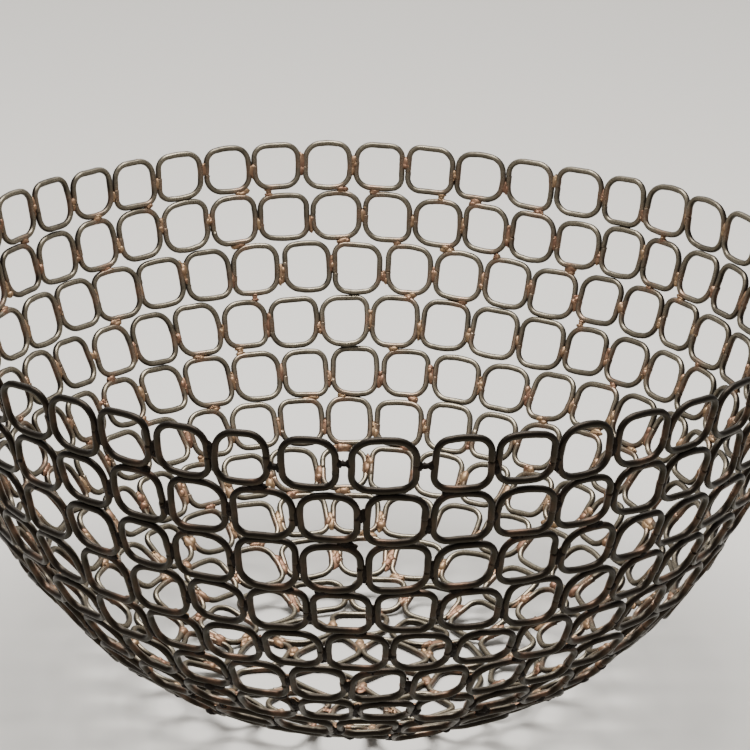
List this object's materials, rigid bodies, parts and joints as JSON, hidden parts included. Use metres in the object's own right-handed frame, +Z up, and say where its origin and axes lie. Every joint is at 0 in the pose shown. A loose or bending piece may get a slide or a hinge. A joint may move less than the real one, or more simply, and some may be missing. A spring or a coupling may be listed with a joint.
{
  "type": "wire link bowl",
  "caption": "Deep round-bottomed bowl for produce, built of rings of rounded-square steel wire links that are brazed side to side and tied course to course, with a flat base.",
  "frame": {"origin": "on the bowl's axis, at the level it stands on", "axes": "+Z up along the bowl's axis, from the base to the open rim"},
  "size_m": [0.3948, 0.3948, 0.1921],
  "materials": {
    "steel_wire": "darkened mild steel wire, semi-matt, with brown oxide",
    "braze": "as-laid copper and brass braze, partly tarnished"
  },
  "bodies": {
    "root": {"course_01_rim_links": "steel_wire", "course_01_rim_side_brazes": "braze", "course_02_links": "steel_wire", "course_02_side_brazes": "braze", "course_03_links": "steel_wire", "course_03_side_brazes": "braze", "course_04_links": "steel_wire", "course_04_side_brazes": "braze", "course_05_links": "steel_wire", "course_05_side_brazes": "braze", "course_06_links": "steel_wire", "course_06_side_brazes": "braze", "course_07_links": "steel_wire", "course_07_side_brazes": "braze", "course_08_links": "steel_wire", "course_08_side_brazes": "braze", "course_09_links": "steel_wire", "course_09_side_brazes": "braze", "course_10_links": "steel_wire", "course_10_side_brazes": "braze", "course_11_links": "steel_wire", "course_11_side_brazes": "braze", "course_12_centre_links": "steel_wire", "course_12_centre_side_brazes": "braze", "ties_01_to_02": "braze", "ties_02_to_03": "braze", "ties_03_to_04": "braze", "ties_04_to_05": "braze", "ties_05_to_06": "braze", "ties_06_to_07": "braze", "ties_07_to_08": "braze", "ties_08_to_09": "braze", "ties_09_to_10": "braze", "ties_10_to_11": "braze", "ties_11_to_12": "braze"}
  },
  "joints": []
}
